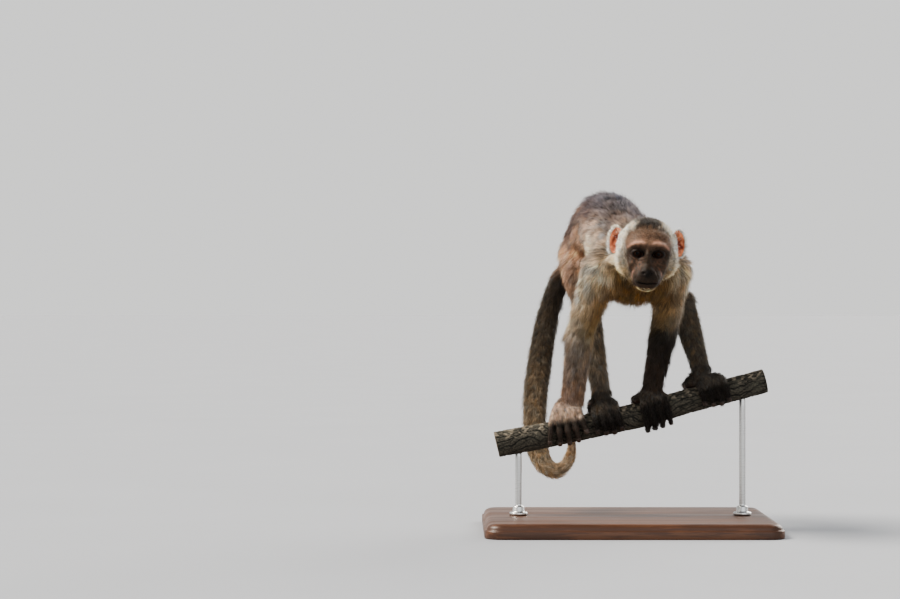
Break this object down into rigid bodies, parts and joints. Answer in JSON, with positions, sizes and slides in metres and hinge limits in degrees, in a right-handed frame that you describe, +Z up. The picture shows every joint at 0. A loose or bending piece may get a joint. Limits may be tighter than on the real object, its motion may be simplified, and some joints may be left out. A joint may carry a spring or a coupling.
{
  "type": "capuchin monkey model on a branch and stand",
  "caption": "Still, life-size model of a white-fronted capuchin monkey standing on all fours, gripping a cut branch held up by a plain wooden base and steel rods.",
  "frame": {"origin": "centre of the stand base's underside, on the surface it rests on", "axes": "+Z up; the monkey faces -Y, so +X is its left-hand side; the branch runs along X and rises towards +X"},
  "size_m": [0.36, 0.3578, 0.4226],
  "materials": {
    "coat_cream": "soft fur, matt",
    "coat_brown": "soft fur, matt",
    "bare_skin": "bare creased skin, satin",
    "eye": "wet gloss",
    "bark": "rough bark, cut ends",
    "base_wood": "oiled, satin",
    "rod_steel": "brushed"
  },
  "bodies": {
    "root": {"head": "coat_cream", "neck": "coat_cream", "chest": "coat_cream", "belly": "coat_brown", "hips": "coat_brown", "upper_arm_right": "coat_brown", "forearm_right": "coat_brown", "hand_right": "bare_skin", "upper_arm_left": "coat_brown", "forearm_left": "coat_brown", "hand_left": "bare_skin", "thigh_right": "coat_brown", "shank_right": "coat_brown", "foot_right": "bare_skin", "thigh_left": "coat_brown", "shank_left": "coat_brown", "foot_left": "bare_skin", "tail_base": "coat_brown", "tail_middle": "coat_brown", "tail_end": "coat_brown", "ear_right": "bare_skin", "ear_left": "bare_skin", "eye_right": "eye", "eye_left": "eye", "perch_branch": "bark", "stand_base": "base_wood", "stand_rod_right": "rod_steel", "stand_rod_left": "rod_steel"}
  },
  "joints": []
}
